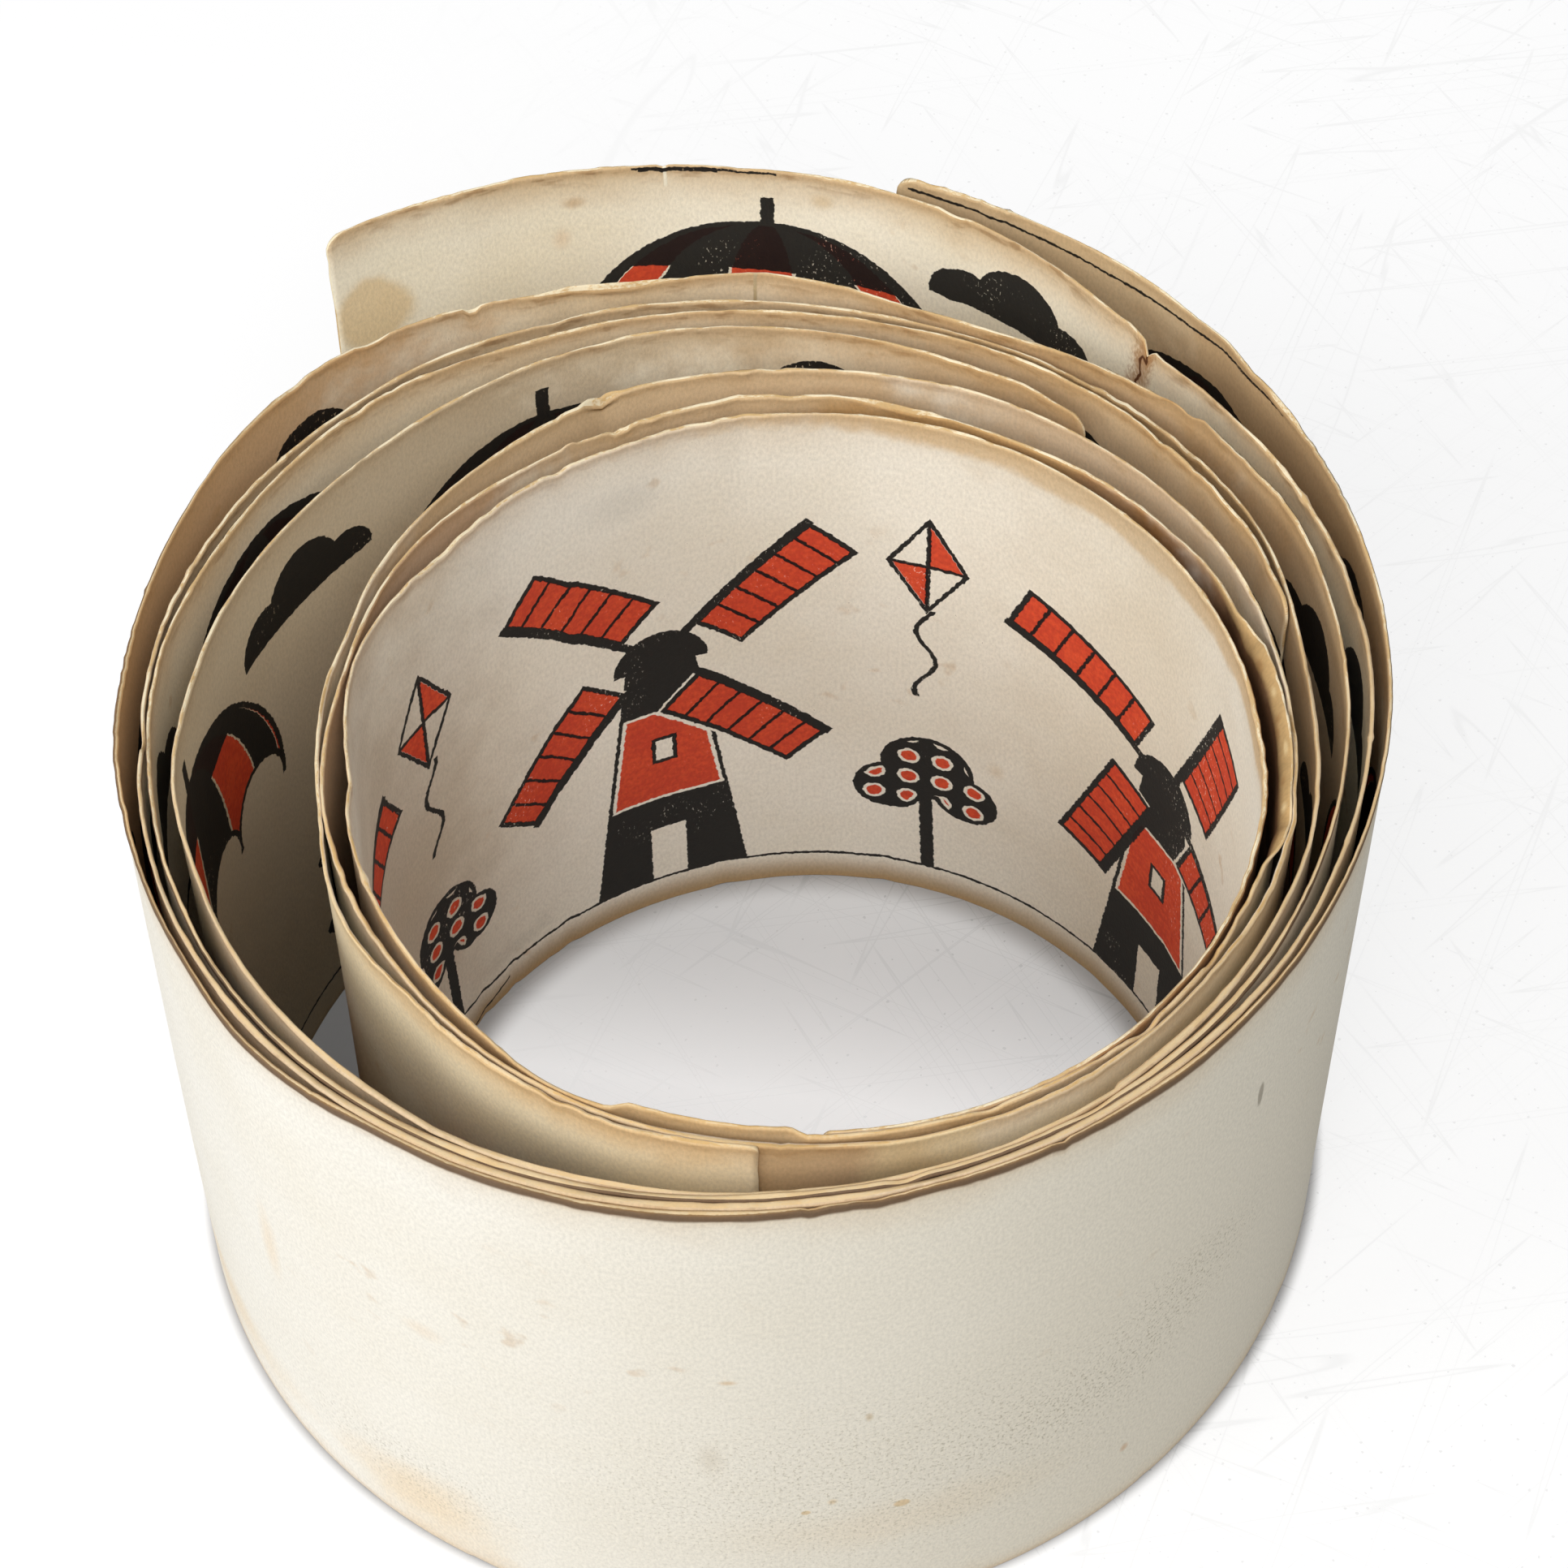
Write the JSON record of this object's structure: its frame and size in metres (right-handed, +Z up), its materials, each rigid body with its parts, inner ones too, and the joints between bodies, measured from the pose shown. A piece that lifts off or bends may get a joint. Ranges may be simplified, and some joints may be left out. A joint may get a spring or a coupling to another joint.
{
  "type": "rolled zoetrope picture strips",
  "caption": "Paper picture strips for a zoetrope, loosely rolled inside one another and standing on edge; each strip lifts upwards out of the roll.",
  "frame": {"origin": "on the surface that the roll stands on, at the middle of the rectangle that the roll fits in seen from above", "axes": "+Z up, along the height of the strips; +Y towards the side where the loose outer ends spring open; +X to the right of someone who looks along +Y"},
  "size_m": [0.138, 0.1466, 0.09],
  "materials": {
    "strip_paper": "matte, aged and printed on the inner face"
  },
  "bodies": {
    "outer_strip": {"outer_strip": "strip_paper"},
    "middle_strip": {"middle_strip": "strip_paper"},
    "inner_strip": {"inner_strip": "strip_paper"}
  },
  "joints": [
    {"name": "middle_strip_lift", "type": "slide", "parent": "outer_strip", "child": "middle_strip", "axis": [0, 0, 1], "range_m": [0, 0.095]},
    {"name": "inner_strip_lift", "type": "slide", "parent": "outer_strip", "child": "inner_strip", "axis": [0, 0, 1], "range_m": [0, 0.095]}
  ]
}
